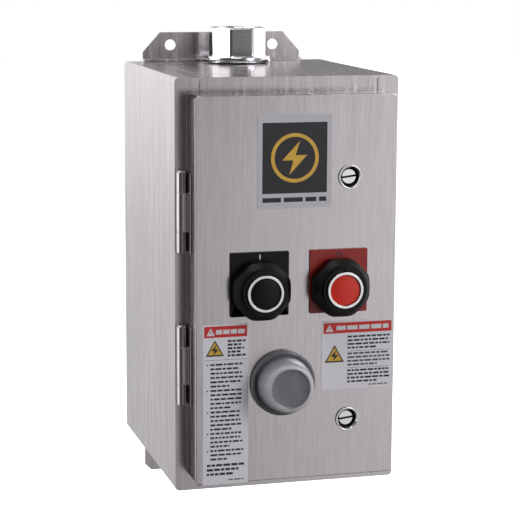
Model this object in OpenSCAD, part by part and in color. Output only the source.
// Enclosed motor starter with overload protection: a stainless steel wall box with a hinged door,
// start, stop and reset operators on the door, and a contactor with an overload relay inside.
// Origin: centre of the box's back face. +X right, +Y into the wall, +Z up. The door faces -Y.

/* [Box] */
// Outer width of the box
body_w = 166; // [160:1:176]
// Outer height of the box
body_h = 300; // [290:1:320]
// Depth of the box from the wall to its front flange
body_d = 185; // [182:1:200]
// Thickness of the stainless sheet
sheet = 1.5; // [1.2:0.1:1.8]
// Outer radius of the box's long bends
bend_r = 3; // [2.5:0.5:4]
// Width of the front flange, from the wall to the sealing lip
flange_w = 14; // [13:0.5:15]
// Height of the sealing lip in front of the flange
lip_h = 14; // [12:0.5:14]

/* [Door] */
// Outer width of the door pan
door_w = 148; // [146:1:149]
// Outer height of the door pan
door_h = 278; // [275:1:280]
// Depth of the door pan in front of the flange
door_t = 25; // [25:0.5:27]

/* [Hinges] */
// Length of one hinge
hinge_len = 57; // [50:1:60]
// Height of the hinge centres above and below the middle of the box
hinge_z = 55.5; // [50:0.5:60]
// Radius of the hinge knuckles
knuckle_r = 3.4; // [3.2:0.1:3.5]
// Radius of the hinge pins
pin_r = 1.6; // [1.4:0.1:1.8]

/* [Wall brackets] */
// Width of both brackets
bracket_w = 130; // [120:1:140]
// Height of the top bracket above the box
top_tab_h = 23; // [21:1:28]
// Height of the bottom bracket below the box
bottom_tab_h = 38; // [36:1:40]
// Distance between the two holes of a bracket
bolt_x = 85; // [80:1:90]
// Radius of the bracket holes
bolt_r = 4.4; // [4:0.1:5]

/* [Conduit hubs] */
// Sideways place of both hubs
hub_x = 2.5; // [0:0.5:3]
// Distance of the hub centres from the wall
hub_y = 30; // [29:0.5:34]
// Radius of the knurled hub flange
hub_flange_r = 26; // [25:0.5:27]
// Height of a hub outside the box
hub_h = 28; // [26:1:30]
// Radius of the threaded conduit entry
entry_r = 15.8; // [15:0.1:16]

/* [Operators] */
// Sideways place of the start button
start_x = -27.5; // [-28:0.5:-27]
// Sideways place of the stop button
stop_x = 31; // [30.5:0.5:31.5]
// Height of both buttons
button_z = 1.5; // [0:0.5:3]
// Sideways place of the reset operator
reset_x = -10; // [-11:0.5:-9]
// Height of the reset operator
reset_z = -67; // [-68:0.5:-66]

/* [Door screws] */
// Sideways place of both door screws
screw_x = 39; // [38:0.5:40]
// Height of the upper door screw
upper_screw_z = 80; // [78:1:82]
// Height of the lower door screw
lower_screw_z = -97; // [-99:1:-95]
// Travel of a door screw from backed out to home
screw_travel = 6.35; // [5:0.05:6.35]

/* [Hidden] */
$fn = 64;

steel = "#b4b0b2";
bright = "#d8d9dc";
zinc = "#c9c7bd";
black_plastic = "#1d1b1d";
grey_plastic = "#6d6f74";
red_plastic = "#b02a24";
copper = "#c07d4c";
iron = "#7d7c80";
seal_rubber = "#2b2b2d";

// Planes along Y
flange_y = -body_d;
lip_y = -body_d - lip_h;
face_y = -body_d - door_t;
door_back_y = face_y + sheet;
rim_gap = 0.8;

// Opening and lip
lip_w = body_w - 2 * flange_w;
lip_height = body_h - 2 * flange_w;
lip_r = 4;

// Hinge axis
hinge_x = -79;
hinge_y = flange_y - 4.5;
end_knuckle = hinge_len / 4;
knuckle_gap = 0.3;
leaf_t = 1.2;

// Hub
hub_seal_t = 0.8;
hub_flange_t = 4.7;
hub_flat = 21.3;
hub_turn = 4;
neck_r = 17.4;
throat_r = 13.5;
entry_depth = 18;

// Mounting panel
panel_back_y = -12;
panel_t = 2;
panel_y = panel_back_y - panel_t;
panel_w = 124;
panel_h = 236;
stud_x = 56;
stud_z = 112;
stud_r = 3;
past_panel_y = -30;

// Screws and mounting ears of the starter, and the ground lug
starter_hole_r = 2.3;
starter_shank_r = 2.15;
terminal_hole_r = 2.15;
ear_front_y = panel_y - 4;
ear_w = 9;
ear_h = 14;
ear_out = 4;
contactor_ear_zs = [0, 50];
overload_ear_z = -60;
lug_at = [50, 0, -84];

// Contactor
pole_x = [-33, -8, 17];
barrier_x = [-45.5, -20.5, 4.5, 29.5];
barrier_half = 1.4;
magnet_x = [-34, 18];
magnet_z = [15, 35];
unit_x = -8;
base_front_y = -58;
contactor_z = 25;
contactor_w = 90;
contactor_h = 100;
leg_front_y = -46;

// Overload relay
overload_top = -32;
overload_bottom = -108;
overload_front_y = -88;
overload_w = 84;
bar_front_y = -98;

// Door operators
hole_r = 15.25;
barrel_r = 15;
clamp_r = 19;
clamp_y = -207;
legend_w = 43;
legend_h = 46;
legend_t = 1.5;
legend_rise = 4;
ring_nut_h = 12;
collar_h = 14.5;
bezel_face_y = face_y - 18.5;
block_w = 36;
block_h = 40;
block_front_y = -203;
block_back_y = -165;
stem_r = 5;

// Door screws
ferrule_front_y = face_y - 1.3;
ferrule_back_y = -193.5;
screw_r = 3;
screw_zs = [upper_screw_z, lower_screw_z];

// Control harness: it leaves the start contact block, runs down the hinge side and ends at the overload relay
harness_r = 3;
harness_points = [
    [-38, -164, -6], [-38, -159, -7], [-46, -153, -12], [-54, -158, -17], [-59, -167, -21],
    [-60, -174, -28], [-60, -175, -40], [-60, -174, -52], [-61, -168, -62], [-64, -155, -70],
    [-67, -135, -76], [-68, -112, -80], [-66, -92, -83], [-61, -77, -85], [-55, -70, -86], [-51, -70, -86]
];
harness_steps = 3;
harness_sides = 8;

// A rounded rectangle from squares and circles, so that its corners stay true arcs
module rounded_rect(w, h, r) {
    square([w - 2 * r, h], center = true);
    square([w, h - 2 * r], center = true);
    for (x = [-1, 1], z = [-1, 1]) {
        translate([x * (w / 2 - r), z * (h / 2 - r)]) circle(r = r);
    }
}

// A rounded slab that reaches from the plane back to the plane front along -Y
module slab(w, h, r, back, front) {
    translate([0, back, 0]) rotate([90, 0, 0]) linear_extrude(height = back - front) rounded_rect(w, h, r);
}

// A round bar along Y
module bar_y(r, back, front) {
    translate([0, back, 0]) rotate([90, 0, 0]) cylinder(r = r, h = back - front);
}

// A tube along Y
module tube_y(outer, inner, back, front) {
    difference() {
        bar_y(outer, back, front);
        bar_y(inner, back + 1, front - 1);
    }
}

// A box given by its ranges
module span(x, y, z) {
    translate([min(x), min(y), min(z)])
        cube([max(x) - min(x), max(y) - min(y), max(z) - min(z)]);
}

// ---------------------------------------------------------------- box

module weld_stud() {
    bar_y(5, -sheet + 0.2, panel_back_y);
    bar_y(stud_r, -sheet, -22);
}

// The whole skin of the box: walls, front flange and sealing lip, open inside and at the hubs
module box_skin() {
    relief = [3, 1.6, 9];
    difference() {
        union() {
            slab(body_w, body_h, bend_r, 0, flange_y);
            slab(lip_w, lip_height, lip_r, flange_y, lip_y);
        }
        slab(body_w - 2 * sheet, body_h - 2 * sheet, bend_r - sheet, -sheet, flange_y + sheet);
        slab(lip_w - 2 * sheet, lip_height - 2 * sheet, lip_r - sheet, flange_y + 2 * sheet, lip_y - 1);
        translate([hub_x, -hub_y, 0]) cylinder(r = neck_r + 0.2, h = 2 * body_h, center = true);
        for (x = [-1, 1], z = [-1, 1])
            translate([x * (lip_w / 2 - relief[0]), flange_y, z * (body_h - flange_w) / 2]) cube(relief, center = true);
    }
}

// The upper end of the skin: the roof with its bends, and the flange and lip that are bent down from it
module end_region() {
    half = lip_w / 2 - lip_r;
    seam_z = body_h / 2 - bend_r;
    span([-body_w, body_w], [1, lip_y - 1], [seam_z, body_h]);
    span([-half, half], [flange_y + 3 * sheet, lip_y - 1], [body_h / 4, body_h]);
}

// Back, sides, side flanges and side lips, with the studs welded to the back
module enclosure_shell() {
    color(steel) {
        difference() {
            box_skin();
            for (m = [0, 1]) mirror([0, 0, m]) end_region();
        }
        for (x = [-stud_x, stud_x], z = [-stud_z, stud_z]) translate([x, 0, z]) weld_stud();
    }
}

module enclosure_roof() {
    color(steel) intersection() {
        box_skin();
        end_region();
    }
}

module enclosure_floor() mirror([0, 0, 1]) enclosure_roof();

// An angle welded to the box: a tab against the wall and a foot along the box, cut away around the hub
module wall_bracket(tab_h, chamfer_x, chamfer_z) {
    tab_t = 2.5;
    foot_t = 2;
    foot_d = 8;
    half = bracket_w / 2;
    hole_z = 13;
    color(steel) translate([-3, 0, body_h / 2]) {
        difference() {
            rotate([90, 0, 0]) linear_extrude(height = tab_t)
                polygon([
                    [-half, 0], [half, 0], [half, tab_h - chamfer_z], [half - chamfer_x, tab_h],
                    [-half + chamfer_x, tab_h], [-half, tab_h - chamfer_z]
                ]);
            for (x = [-bolt_x / 2, bolt_x / 2])
                translate([x, 0, tab_h > 30 ? tab_h - hole_z : hole_z]) bar_y(bolt_r, 1, -tab_t - 1);
        }
        difference() {
            span([-half, half], [-tab_t + 0.3, -foot_d], [0, foot_t]);
            translate([hub_x + 3, -hub_y, -1]) cylinder(r = hub_flange_r + 0.5, h = 5);
        }
    }
}

module top_mounting_bracket() wall_bracket(tab_h = top_tab_h, chamfer_x = 14, chamfer_z = 15.5);

module bottom_mounting_bracket() mirror([0, 0, 1]) wall_bracket(tab_h = bottom_tab_h, chamfer_x = 5, chamfer_z = 5);

// ---------------------------------------------------------------- hinges

module knuckle(z0, z1) {
    translate([hinge_x, hinge_y, z0]) cylinder(r = knuckle_r, h = z1 - z0);
}

module pin_bore() {
    translate([hinge_x, hinge_y, -hinge_len]) cylinder(r = pin_r + 0.08, h = 2 * hinge_len);
}

module frame_leaf(z) {
    half = hinge_len / 2;
    color(steel) translate([0, 0, z]) difference() {
        union() {
            for (s = [-1, 1]) {
                knuckle(s > 0 ? half - end_knuckle : -half, s > 0 ? half : -half + end_knuckle);
                span([hinge_x, hinge_x + knuckle_r], [flange_y, hinge_y + 1], [s * (half - end_knuckle), s * half]);
            }
            span([hinge_x - knuckle_r, hinge_x + 4], [flange_y, flange_y - 0.9], [-half, half]);
        }
        pin_bore();
    }
}

module door_leaf(z) {
    half = hinge_len / 2;
    mid = half - end_knuckle - knuckle_gap;
    plate_x = -door_w / 2;
    color(steel) translate([0, 0, z]) difference() {
        union() {
            knuckle(-mid, mid);
            span([hinge_x, plate_x], [hinge_y - knuckle_r, hinge_y - knuckle_r + leaf_t], [-mid, mid]);
            span([plate_x - leaf_t, plate_x], [flange_y - 2.5, flange_y - 15], [-half, half]);
        }
        pin_bore();
    }
}

module frame_hinge_leaves() for (z = [-hinge_z, hinge_z]) frame_leaf(z);

module door_hinge_leaves() for (z = [-hinge_z, hinge_z]) door_leaf(z);

module hinge_pins() {
    head_h = 1;
    color(bright) for (z = [-hinge_z, hinge_z]) translate([hinge_x, hinge_y, z]) {
        translate([0, 0, -hinge_len / 2]) cylinder(r = pin_r, h = hinge_len);
        translate([0, 0, hinge_len / 2]) cylinder(r = pin_r + 0.8, h = head_h);
    }
}

// ---------------------------------------------------------------- conduit hubs

module conduit_hub() {
    seat = body_h / 2 + hub_seal_t;
    top = body_h / 2 + hub_h;
    neck_end = body_h / 2 - 11;
    color(bright) translate([hub_x, -hub_y, 0]) difference() {
        union() {
            translate([0, 0, seat]) cylinder(r = hub_flange_r, h = hub_flange_t);
            translate([0, 0, seat]) rotate(22.5 - hub_turn)
                cylinder(r = hub_flat / cos(22.5), h = top - seat, $fn = 8);
            translate([0, 0, neck_end]) cylinder(r = neck_r, h = seat - neck_end + 1);
        }
        translate([0, 0, neck_end - 1]) cylinder(r = throat_r, h = 100);
        translate([0, 0, top - entry_depth]) cylinder(r = entry_r, h = entry_depth + 1);
    }
}

module hub_seal() {
    color(seal_rubber) translate([hub_x, -hub_y, body_h / 2]) difference() {
        cylinder(r = hub_flange_r - 3, h = hub_seal_t);
        translate([0, 0, -1]) cylinder(r = neck_r + 0.2, h = 3);
    }
}

module hub_locknut() {
    nut_h = 5;
    nut_r = 24;
    color(zinc) translate([hub_x, -hub_y, body_h / 2 - sheet - nut_h]) difference() {
        cylinder(r = nut_r, h = nut_h, $fn = 8);
        translate([0, 0, -1]) cylinder(r = neck_r + 0.1, h = nut_h + 2);
    }
}

module top_conduit_hub() conduit_hub();
module bottom_conduit_hub() mirror([0, 0, 1]) conduit_hub();
module hub_seals() for (m = [0, 1]) mirror([0, 0, m]) hub_seal();
module hub_locknuts() for (m = [0, 1]) mirror([0, 0, m]) hub_locknut();

// ---------------------------------------------------------------- door

module door_panel() {
    rim_y = flange_y - rim_gap;
    color(steel) difference() {
        slab(door_w, door_h, 3.5, rim_y, face_y);
        slab(door_w - 2 * sheet, door_h - 2 * sheet, 2, rim_y + 1, door_back_y);
        for (x = [start_x, stop_x]) translate([x, 0, button_z]) bar_y(hole_r, rim_y, face_y - 1);
        translate([reset_x, 0, reset_z]) bar_y(hole_r, rim_y, face_y - 1);
        for (z = screw_zs) translate([screw_x, 0, z]) bar_y(7.3, rim_y, face_y - 1);
    }
}

module door_gasket() {
    gasket_w = 10;
    gasket_y = lip_y - 0.3;
    outer_w = door_w - 2 * sheet - 0.8;
    outer_h = door_h - 2 * sheet - 0.8;
    color(seal_rubber) difference() {
        slab(outer_w, outer_h, 5, gasket_y, door_back_y);
        slab(outer_w - 2 * gasket_w, outer_h - 2 * gasket_w, 3, gasket_y + 1, door_back_y - 1);
    }
}

module label(x, z, w, h, tint) {
    label_t = 0.3;
    color(tint) translate([x, 0, z]) slab(w, h, 1.2, face_y, face_y - label_t);
}

module name_label() label(x = -2, z = 92, w = 54, h = 66, tint = "#c9cad2");
module tall_hazard_label() label(x = -52, z = -81, w = 33.5, h = 117, tint = "#c9c6d0");
module wide_hazard_label() label(x = 46.2, z = -49.5, w = 54, h = 50.5, tint = "#d9d7da");

// ---------------------------------------------------------------- start and stop operators

module legend_plate(x, tint) {
    color(tint) difference() {
        translate([x, 0, button_z + legend_rise]) slab(legend_w, legend_h, 1, face_y, face_y - legend_t);
        translate([x, 0, button_z]) bar_y(hole_r, face_y + 1, face_y - legend_t - 1);
    }
}

// Threaded barrel with a rear flange, an inner shoulder for the spring and a front seat for the bezel
module bushing(x) {
    shoulder_y = -207.5;
    color(grey_plastic) translate([x, 0, button_z]) difference() {
        union() {
            bar_y(barrel_r, block_front_y, face_y - collar_h + 0.5);
            bar_y(clamp_r, block_front_y, clamp_y);
        }
        bar_y(11.2, shoulder_y, face_y - collar_h);
        bar_y(stem_r + 0.2, block_front_y + 1, shoulder_y - 1);
    }
}

// Octagonal nut with turned corners and a wide turned chamfer, and a round collar around the bezel
module ring_nut(x) {
    seat_y = face_y - legend_t;
    nut_flat = 20.5;
    corner_r = 21.5;
    tier_h = 8;
    color(black_plastic) translate([x, seat_y, button_z]) rotate([90, 0, 0]) difference() {
        union() {
            intersection() {
                rotate(22.5) cylinder(r = nut_flat / cos(22.5), h = ring_nut_h, $fn = 8);
                rotate_extrude() polygon([
                    [0, -1], [corner_r, -1], [corner_r, tier_h], [17, ring_nut_h + 0.5], [0, ring_nut_h + 0.5]
                ]);
            }
            cylinder(r = 15.8, h = collar_h);
        }
        translate([0, 0, -1]) cylinder(r = barrel_r + 0.1, h = ring_nut_h + 2);
        cylinder(r = 13.5, h = collar_h + 1);
    }
}

module operator_bezels() {
    color(bright) for (x = [start_x, stop_x]) translate([x, 0, button_z])
        tube_y(13.1, 11.2, face_y - collar_h + 0.5, bezel_face_y);
}

module operator_gaskets() {
    color(seal_rubber) {
        for (x = [start_x, stop_x]) translate([x, 0, button_z]) tube_y(clamp_r, hole_r, clamp_y, door_back_y);
        translate([reset_x, 0, reset_z]) tube_y(clamp_r, hole_r, clamp_y, door_back_y);
    }
}

// Domed cap on a stem that reaches into the contact block
module push_button(x, tint) {
    cap_r = 10.9;
    dome_r = 70;
    cap_front = bezel_face_y + 1.4;
    cap_back = -215.5;
    color(tint) translate([x, 0, button_z]) {
        bar_y(cap_r, cap_back, cap_front);
        intersection() {
            bar_y(cap_r - 0.6, cap_back, cap_front - 2);
            translate([0, cap_front - 0.9 + dome_r, 0]) sphere(r = dome_r, $fn = 96);
        }
        bar_y(stem_r, -196, cap_back - 1);
    }
}

module button_spring(x) {
    color(zinc) translate([x, 0, button_z]) tube_y(8, 6.6, -207.6, -215.4);
}

module contact_block(x) {
    terminal_t = 7;
    color(black_plastic) translate([x, 0, button_z]) difference() {
        union() {
            span([-block_w / 2, block_w / 2], [block_back_y, block_front_y], [-block_h / 2 + 7, block_h / 2 - 7]);
            span([-block_w / 2 + 2, block_w / 2 - 2], [block_back_y, block_front_y + terminal_t + 5],
                 [-block_h / 2, block_h / 2]);
        }
        bar_y(stem_r + 0.2, -190, block_front_y - 1);
        for (s = [-1, 1], t = [-8, 8])
            span([t - 4.5, t + 4.5], [block_back_y - 6, block_back_y - terminal_t - 9],
                 [s * (block_h / 2 - 5), s * (block_h / 2 + 1)]);
    }
}

module start_legend_plate() legend_plate(start_x, black_plastic);
module stop_legend_plate() legend_plate(stop_x, red_plastic);
module start_bushing() bushing(start_x);
module stop_bushing() bushing(stop_x);
module start_ring_nut() ring_nut(start_x);
module stop_ring_nut() ring_nut(stop_x);
module start_button() push_button(start_x, black_plastic);
module stop_button() push_button(stop_x, red_plastic);
module start_spring() button_spring(start_x);
module stop_spring() button_spring(stop_x);
module start_contact_block() contact_block(start_x);
module stop_contact_block() contact_block(stop_x);

// ---------------------------------------------------------------- reset operator

module reset_bushing() {
    color(bright) translate([reset_x, 0, reset_z]) difference() {
        union() {
            bar_y(17.5, face_y, face_y - 2);
            bar_y(barrel_r, -198, face_y - 1);
            rotate([90, 0, 0]) translate([0, 0, 203]) cylinder(r = 20, h = 4, $fn = 6);
        }
        bar_y(4.4, -190, face_y - 3);
    }
}

// Soft boot: a flat base ring, a tapered skirt and a thin face over the button
module reset_boot() {
    color("#8d8f95", 0.7) translate([reset_x, face_y, reset_z]) rotate([90, 0, 0]) rotate_extrude() polygon([
        [18, 0], [23.8, 0], [23.8, 3.2], [22.8, 4.5], [20.6, 4.8], [20.2, 6.5], [20, 8],
        [17.8, 19], [17, 20.6], [15.6, 21.6], [14.2, 22], [0.01, 22],
        [0.01, 20.6], [13.8, 20.6], [15, 20.1], [15.9, 19], [18, 8]
    ]);
}

module reset_button() {
    cap_r = 13.5;
    cap_front = face_y - 20.3;
    cap_back = face_y - 12;
    color(black_plastic) translate([reset_x, 0, reset_z]) {
        bar_y(cap_r, cap_back, cap_front);
        bar_y(4, bar_front_y - 1, cap_back - 1);
    }
}

module reset_spring() {
    color(zinc) translate([reset_x, 0, reset_z]) tube_y(7, 5.6, face_y - 2.1, face_y - 11.9);
}

// ---------------------------------------------------------------- door screws

module screw_ferrules() {
    cup_r = 6.4;
    color(bright) for (z = screw_zs) translate([screw_x, 0, z]) difference() {
        union() {
            bar_y(8.6, face_y, ferrule_front_y);
            bar_y(7.2, ferrule_back_y, face_y);
        }
        bar_y(cup_r, ferrule_back_y - sheet, ferrule_front_y - 1);
        bar_y(screw_r + 0.4, ferrule_back_y + 1, ferrule_front_y);
        translate([0, ferrule_front_y - 0.1, 0]) rotate([-90, 0, 0]) cylinder(r1 = 7.7, r2 = cup_r, h = 1.8);
    }
}

// Slotted screw, backed out by its travel
module door_screw(z) {
    head_back = -196.6 - screw_travel;
    head_r = 5.1;
    head_h = 4.4;
    slot = [14, 3, 1.3];
    slot_tilt = -7;
    color(bright) translate([screw_x, 0, z]) difference() {
        union() {
            bar_y(head_r, head_back, head_back - head_h);
            bar_y(screw_r, -187 - screw_travel, head_back - 1);
        }
        rotate([0, slot_tilt, 0]) translate([0, head_back - head_h, 0]) cube(slot, center = true);
    }
}

module upper_door_screw() door_screw(upper_screw_z);
module lower_door_screw() door_screw(lower_screw_z);

// Plate behind the flange with a threaded boss for the door screw
module latch_brackets() {
    plate_y = flange_y + sheet + 0.2;
    plate_t = 2.5;
    plate_half = 9;
    arm_d = 14;
    boss_r = 6.5;
    wall_x = body_w / 2 - sheet;
    color(steel) for (z = screw_zs) difference() {
        union() {
            span([screw_x - plate_half, wall_x], [plate_y, plate_y + plate_t], [z - plate_half, z + plate_half]);
            span([wall_x - plate_t, wall_x], [plate_y, plate_y + arm_d], [z - plate_half, z + plate_half]);
            translate([screw_x, 0, z]) bar_y(boss_r, plate_y + 1, -193);
        }
        translate([screw_x, 0, z]) bar_y(screw_r + 0.2, plate_y + plate_t + 1, -194);
    }
}

// ---------------------------------------------------------------- mounting panel

module mounting_panel() {
    color(zinc) difference() {
        slab(panel_w, panel_h, 4, panel_back_y, panel_y);
        for (x = [-stud_x, stud_x], z = [-stud_z, stud_z])
            translate([x, 0, z]) bar_y(stud_r + 0.3, 0, past_panel_y);
        for (p = starter_screw_places()) translate([p[0], 0, p[1]]) bar_y(starter_hole_r, 0, past_panel_y);
        translate(lug_at) bar_y(starter_hole_r, 0, past_panel_y);
    }
}

module panel_nuts() {
    color(zinc) for (x = [-stud_x, stud_x], z = [-stud_z, stud_z]) translate([x, 0, z]) difference() {
        translate([0, panel_y, 0]) rotate([90, 0, 0]) cylinder(r = 5.8, h = 5, $fn = 6);
        bar_y(stud_r + 0.05, 0, past_panel_y);
    }
}

function starter_screw_places() = [
    for (s = [-1, 1], z = contactor_ear_zs) [unit_x + s * (contactor_w / 2 + ear_out), z],
    for (s = [-1, 1]) [unit_x + s * (overload_w / 2 + ear_out), overload_ear_z]
];

module starter_screws() {
    head_r = 3.8;
    head_front_y = ear_front_y - 2.6;
    slot = [9, 2, 0.9];
    color(zinc) {
        for (p = starter_screw_places()) translate([p[0], 0, p[1]]) {
            bar_y(starter_shank_r, panel_back_y + 1, ear_front_y - 1);
            difference() {
                bar_y(head_r, ear_front_y, head_front_y);
                translate([0, head_front_y, 0]) cube(slot, center = true);
            }
        }
        translate(lug_at) {
            bar_y(starter_shank_r, panel_back_y + 1, ear_front_y - 1);
            bar_y(head_r, ear_front_y, head_front_y);
        }
    }
}

// ---------------------------------------------------------------- contactor

cavity_x = [-38, 22];
cavity_z = [-5, 55];
cavity_back_y = -18;
pad_z = 66;

// A pair of mounting ears at both sides of a housing
module screw_ears(housing_w, z) {
    for (s = [-1, 1]) translate([unit_x + s * (housing_w / 2 + ear_out - 0.5), 0, z])
        span([-ear_w / 2, ear_w / 2], [panel_y, ear_front_y], [-ear_h / 2, ear_h / 2]);
}

// A box given by its three ranges in one list
module block(ranges) span(ranges[0], ranges[1], ranges[2]);

module contactor_base() {
    half_h = contactor_h / 2;
    barrier_h = 20;
    barrier_front_y = -76;
    color("#3a3230") difference() {
        union() {
            translate([unit_x, 0, contactor_z])
                span([-contactor_w / 2, contactor_w / 2], [panel_y, base_front_y], [-half_h, half_h]);
            for (z = contactor_ear_zs) screw_ears(contactor_w, z);
            for (x = barrier_x, s = [-1, 1])
                translate([x, 0, contactor_z])
                    span([-barrier_half, barrier_half], [base_front_y + 1, barrier_front_y],
                         [s * (half_h - barrier_h), s * half_h]);
        }
        span(cavity_x, [cavity_back_y, base_front_y - 1], cavity_z);
        for (x = pole_x, s = [-1, 1])
            translate([x, 0, contactor_z + s * (pad_z - contactor_z)]) bar_y(2.1, base_front_y + 9, -70);
        for (p = starter_screw_places()) translate([p[0], 0, p[1]]) bar_y(starter_hole_r, 0, past_panel_y);
    }
}

module contactor_cover() {
    wall = 2.5;
    cover_z = [-3, 53];
    cover_front = -98;
    rib_half = 3;
    rib_z = [4, 46];
    window_half = 5;
    window_z = [17, 33];
    x0 = unit_x - contactor_w / 2 + 2;
    x1 = unit_x + contactor_w / 2 - 2;
    color(black_plastic) difference() {
        union() {
            span([x0, x1], [base_front_y, cover_front], cover_z);
            for (x = [barrier_x[1], barrier_x[2]])
                span([x - rib_half, x + rib_half], [cover_front + 1, cover_front - 3], rib_z);
        }
        span([x0 + wall, x1 - wall], [base_front_y + 1, cover_front + wall], [cover_z[0] + wall, cover_z[1] - wall]);
        for (x = pole_x, s = [-1, 1])
            translate([x, 0, contactor_z]) span([-7.5, 7.5], [base_front_y + 1, -68], [s * 22, s * 30]);
        span([unit_x - window_half, unit_x + window_half], [cover_front + wall + 1, cover_front - 1], window_z);
    }
}

module magnet_core() {
    yoke_y = [-18.5, -28.5];
    leg_x = [[-34, -26], [-14, -2], [10, 18]];
    color(iron) {
        span(magnet_x, yoke_y, magnet_z);
        for (x = leg_x) span(x, [yoke_y[1] + 0.5, leg_front_y], magnet_z);
    }
}

module magnet_coil() {
    winding = [[-25, 9], [-29.5, -44], [5, 45]];
    window = [[-15, -1], [-28, -46], [14, 36]];
    color(copper) difference() {
        block(winding);
        block(window);
    }
}

// One fixed contact: a terminal pad, a riser and a tongue that ends in a contact button
module fixed_contact(x) {
    pad_t = 1.8;
    pad_half = 6;
    pad_end_z = 73;
    riser_z = [52.2, 54.2];
    tongue_y = -65;
    tongue_half = 5;
    tongue_end_z = 40.5;
    contact_z = 44;
    contact_r = 3;
    color(copper) translate([x, 0, 0]) difference() {
        union() {
            span([-pad_half, pad_half], [base_front_y, base_front_y - pad_t], [riser_z[1] - 0.2, pad_end_z]);
            span([-pad_half, pad_half], [base_front_y, tongue_y], riser_z);
            span([-tongue_half, tongue_half], [tongue_y + pad_t, tongue_y], [tongue_end_z, riser_z[1] - 0.2]);
            translate([0, 0, contact_z]) bar_y(contact_r, tongue_y + 1, tongue_y - 0.8);
        }
        translate([0, 0, pad_z]) bar_y(terminal_hole_r, -50, -70);
    }
}

module fixed_contacts() {
    for (x = pole_x) {
        fixed_contact(x);
        translate([0, 0, 2 * contactor_z]) mirror([0, 0, 1]) fixed_contact(x);
    }
}

module armature() {
    armature_y = [-50.3, -58.3];
    color(iron) span(magnet_x, armature_y, magnet_z);
}

module contact_carrier() {
    foot = [[-37, 21], [-58.3, -62.8], [7, 43]];
    bridge_holder = [[-41, 25], [-62.5, -78], [12, 38]];
    indicator = [[unit_x - 4, unit_x + 4], [-77, -96], [19, 31]];
    window_half = 5.2;
    window_y = [-68, -76];
    color("#d8cfb4") difference() {
        union() {
            block(foot);
            block(bridge_holder);
            block(indicator);
        }
        for (x = pole_x) span([x - window_half, x + window_half], window_y, [0, 2 * contactor_z]);
    }
}

module bridge_contacts() {
    bar_back = -70.8;
    bar_t = 1.5;
    bar_half_w = 4.5;
    bar_half_h = 23;
    contact_z = 19;
    contact_r = 3;
    color(copper) for (x = pole_x) translate([x, 0, contactor_z]) {
        span([-bar_half_w, bar_half_w], [bar_back, bar_back - bar_t], [-bar_half_h, bar_half_h]);
        for (s = [-1, 1]) translate([0, 0, s * contact_z]) bar_y(contact_r, bar_back + 0.8, bar_back - 0.5);
    }
}

module carrier_springs() {
    spring_zs = [10.5, 39.5];
    color(zinc) for (z = spring_zs) translate([unit_x, 0, z]) tube_y(2.8, 1.9, -44.1, -58.2);
}

module terminal_screw(back, seat) {
    difference() {
        union() {
            bar_y(2, back, seat - 1);
            bar_y(4.2, seat, seat - 3);
        }
        translate([0, seat - 3, 0]) cube([10, 2.4, 1], center = true);
    }
}

module terminal_screws() {
    color(zinc) for (x = pole_x) {
        translate([x, 0, pad_z]) terminal_screw(base_front_y + 8, base_front_y - 1.8);
        translate([x, 0, 2 * contactor_z - pad_z]) terminal_screw(base_front_y + 8, base_front_y - 3.4);
        translate([x, 0, overload_bottom + 9]) terminal_screw(load_pad_y + 8, load_pad_y - 1.8);
    }
}

module power_straps() {
    strap_back = base_front_y - 1.8;
    color(copper) for (x = pole_x) difference() {
        span([x - 5.5, x + 5.5], [strap_back, strap_back - 1.6], [overload_top - 8, -8]);
        translate([x, 0, 2 * contactor_z - pad_z]) bar_y(terminal_hole_r, -50, -70);
    }
}

// ---------------------------------------------------------------- overload relay

load_pad_y = -70;
heater_z = [-60, -41];

module overload_housing() {
    x0 = unit_x - overload_w / 2;
    x1 = unit_x + overload_w / 2;
    step_h = 19;
    barrier_front_y = -80;
    color("#2a2a2e") difference() {
        union() {
            span([x0, x1], [panel_y, overload_front_y], [overload_bottom + step_h - 1, overload_top]);
            span([x0, x1], [panel_y, load_pad_y], [overload_bottom, overload_bottom + step_h]);
            for (x = barrier_x)
                span([x - barrier_half, x + barrier_half], [load_pad_y + 1, barrier_front_y],
                     [overload_bottom, overload_bottom + step_h]);
            screw_ears(overload_w, overload_ear_z);
        }
        for (x = pole_x) {
            span([x - 7, x + 7], [-56, -66], [overload_top - 9, overload_top + 1]);
            span([x - 9.5, x + 9.5], [overload_front_y + 9, overload_front_y - 1], heater_z);
            translate([x, 0, overload_bottom + 9]) bar_y(2.1, load_pad_y + 9, -80);
        }
        translate([reset_x, 0, reset_z]) bar_y(4.6, -60, overload_front_y - 1);
        for (p = starter_screw_places()) translate([p[0], 0, p[1]]) bar_y(starter_hole_r, 0, past_panel_y);
    }
}

module heater_elements() {
    back = overload_front_y + 9;
    mid = (heater_z[0] + heater_z[1]) / 2;
    color("#b08d57") for (x = pole_x) translate([x, 0, mid]) {
        span([-8, 8], [back, back - 3], [-8.5, 8.5]);
        for (s = [-1, 1]) translate([0, 0, s * 6]) bar_y(2.2, back - 2, back - 5.5);
        translate([-6, back - 5, 0]) rotate([0, 90, 0]) cylinder(r = 2.6, h = 12);
    }
}

module load_terminals() {
    color(copper) for (x = pole_x) difference() {
        span([x - 6, x + 6], [load_pad_y, load_pad_y - 1.8], [overload_bottom + 1, overload_bottom + 17]);
        translate([x, 0, overload_bottom + 9]) bar_y(terminal_hole_r, -60, -90);
    }
}

module overload_reset_bar() {
    color("#2f5fa8") translate([reset_x, 0, reset_z]) {
        bar_y(4.5, -70, bar_front_y + 2);
        bar_y(6, overload_front_y - 6, bar_front_y);
    }
}

module overload_reset_spring() {
    color(zinc) translate([reset_x, 0, reset_z]) tube_y(3.8, 2.8, -60.1, -69.9);
}

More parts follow.
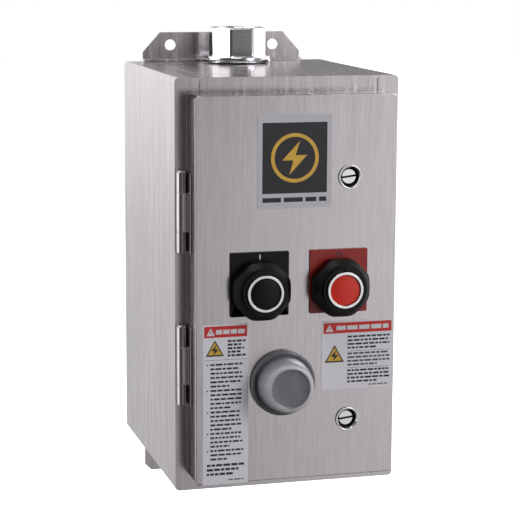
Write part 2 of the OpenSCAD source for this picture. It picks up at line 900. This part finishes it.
module ground_lug() {
    lug_half = 6;
    barrel_h = 12;
    wire_r = 3.2;
    color(zinc) translate(lug_at) difference() {
        union() {
            span([-lug_half, lug_half], [panel_y, ear_front_y], [-7, 7]);
            span([-lug_half, lug_half], [panel_y, panel_y - barrel_h], [-17, -6]);
        }
        bar_y(starter_hole_r, 0, past_panel_y);
        translate([0, panel_y - 7, -11.5]) rotate([0, 90, 0]) cylinder(r = wire_r, h = 20, center = true);
    }
}

// ---------------------------------------------------------------- control harness

function catmull(a, b, c, d, t) =
    0.5 * ((2 * b) + (c - a) * t + (2 * a - 5 * b + 4 * c - d) * t * t + (3 * b - a - 3 * c + d) * t * t * t);

function smooth_route(p, n) = [
    for (i = [0 : len(p) - 2], k = [0 : n - 1])
        catmull(p[max(i - 1, 0)], p[i], p[i + 1], p[min(i + 2, len(p) - 1)], k / n),
    p[len(p) - 1]
];

function unit(v) = v / norm(v);

function tangent(p, i) = unit(p[min(i + 1, len(p) - 1)] - p[max(i - 1, 0)]);

// Sideways direction of a ring, square to the route and close to level
function side(t) = unit(cross(t, abs(t[2]) > 0.95 ? [1, 0, 0] : [0, 0, 1]));

// Carries the first side direction along the route without twist
function carried(p, i, s) =
    i == len(p) ? [] :
    let (t = tangent(p, i), u = unit(s - (s * t) * t))
    concat([u], carried(p, i + 1, u));

module swept_tube(p, r, sides) {
    us = carried(p, 0, side(tangent(p, 0)));
    rings = [
        for (i = [0 : len(p) - 1])
            let (t = tangent(p, i), u = us[i], v = cross(t, u))
            for (k = [0 : sides - 1]) p[i] + r * (cos(360 * k / sides) * u + sin(360 * k / sides) * v)
    ];
    last = (len(p) - 1) * sides;
    polyhedron(
        points = rings,
        faces = concat(
            [[for (k = [0 : sides - 1]) k]],
            [[for (k = [0 : sides - 1]) last + sides - 1 - k]],
            [for (i = [0 : len(p) - 2], k = [0 : sides - 1])
                let (a = i * sides + k, b = i * sides + (k + 1) % sides)
                [a, a + sides, b + sides, b]]
        )
    );
}

module control_harness() {
    color("#8a2f2b") swept_tube(smooth_route(harness_points, harness_steps), harness_r, harness_sides);
}

// ---------------------------------------------------------------- nodes

enclosure_shell();
enclosure_roof();
enclosure_floor();
top_mounting_bracket();
bottom_mounting_bracket();
frame_hinge_leaves();
hinge_pins();
top_conduit_hub();
bottom_conduit_hub();
hub_seals();
hub_locknuts();
latch_brackets();
mounting_panel();
panel_nuts();
contactor_base();
contactor_cover();
magnet_core();
magnet_coil();
fixed_contacts();
power_straps();
terminal_screws();
overload_housing();
heater_elements();
load_terminals();
ground_lug();
starter_screws();
control_harness();
armature();
contact_carrier();
bridge_contacts();
carrier_springs();
overload_reset_bar();
overload_reset_spring();
door_panel();
door_gasket();
door_hinge_leaves();
name_label();
tall_hazard_label();
wide_hazard_label();
operator_gaskets();
operator_bezels();
start_legend_plate();
start_bushing();
start_ring_nut();
start_contact_block();
start_button();
start_spring();
stop_legend_plate();
stop_bushing();
stop_ring_nut();
stop_contact_block();
stop_button();
stop_spring();
reset_bushing();
reset_boot();
reset_button();
reset_spring();
screw_ferrules();
upper_door_screw();
lower_door_screw();
